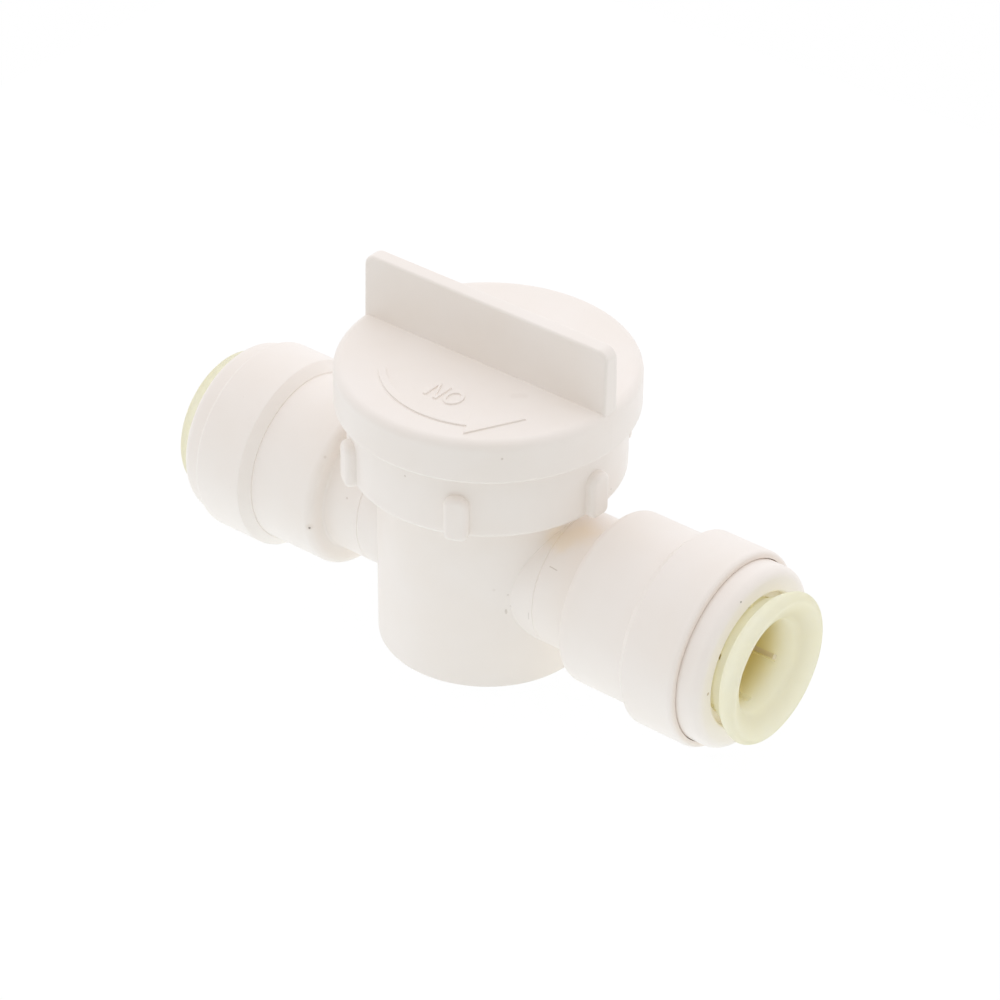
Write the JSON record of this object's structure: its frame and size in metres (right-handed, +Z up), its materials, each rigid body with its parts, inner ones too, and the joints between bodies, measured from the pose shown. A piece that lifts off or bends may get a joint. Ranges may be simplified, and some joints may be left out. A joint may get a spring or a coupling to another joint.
{
  "type": "in-line valve",
  "caption": "In-line quarter-turn shut-off valve with an upright cylindrical body, a ribbed bonnet nut, a finned knob and a push-fit tube socket with a release collet at each end.",
  "frame": {"origin": "middle of the body's flat bottom, under the stem", "axes": "+X along the flow, towards the right-hand port; +Z up the stem, towards the knob"},
  "size_m": [0.1162, 0.05, 0.0636],
  "materials": {
    "white_plastic": "satin",
    "collet_plastic": "satin",
    "inner_plastic": "smooth",
    "seal_rubber": "matte",
    "grip_steel": "bright"
  },
  "bodies": {
    "body": {"valve_body": "white_plastic", "bonnet_nut": "white_plastic", "left_end_cap": "white_plastic", "left_cartridge": "white_plastic", "right_end_cap": "white_plastic", "right_cartridge": "white_plastic", "thrust_washer": "inner_plastic", "left_spacer": "inner_plastic", "right_spacer": "inner_plastic", "left_tube_o_ring": "seal_rubber", "right_tube_o_ring": "seal_rubber"},
    "turning": {"knob": "white_plastic", "plug": "inner_plastic", "port_seal_front": "seal_rubber", "port_seal_back": "seal_rubber", "upper_o_ring": "seal_rubber", "lower_o_ring": "seal_rubber"},
    "left_release": {"left_collet": "collet_plastic", "left_grip_ring": "grip_steel"},
    "right_release": {"right_collet": "collet_plastic", "right_grip_ring": "grip_steel"}
  },
  "joints": [
    {"name": "knob_turn", "type": "hinge", "parent": "body", "child": "turning", "pos_m": [0, 0, 0.0176], "axis": [0, 0, 1], "range_deg": [-90, 0]},
    {"name": "left_collet_slide", "type": "slide", "parent": "body", "child": "left_release", "axis": [-1, 0, 0], "range_m": [0, 0.0014]},
    {"name": "right_collet_slide", "type": "slide", "parent": "body", "child": "right_release", "axis": [1, 0, 0], "range_m": [-0.0014, 0]}
  ]
}
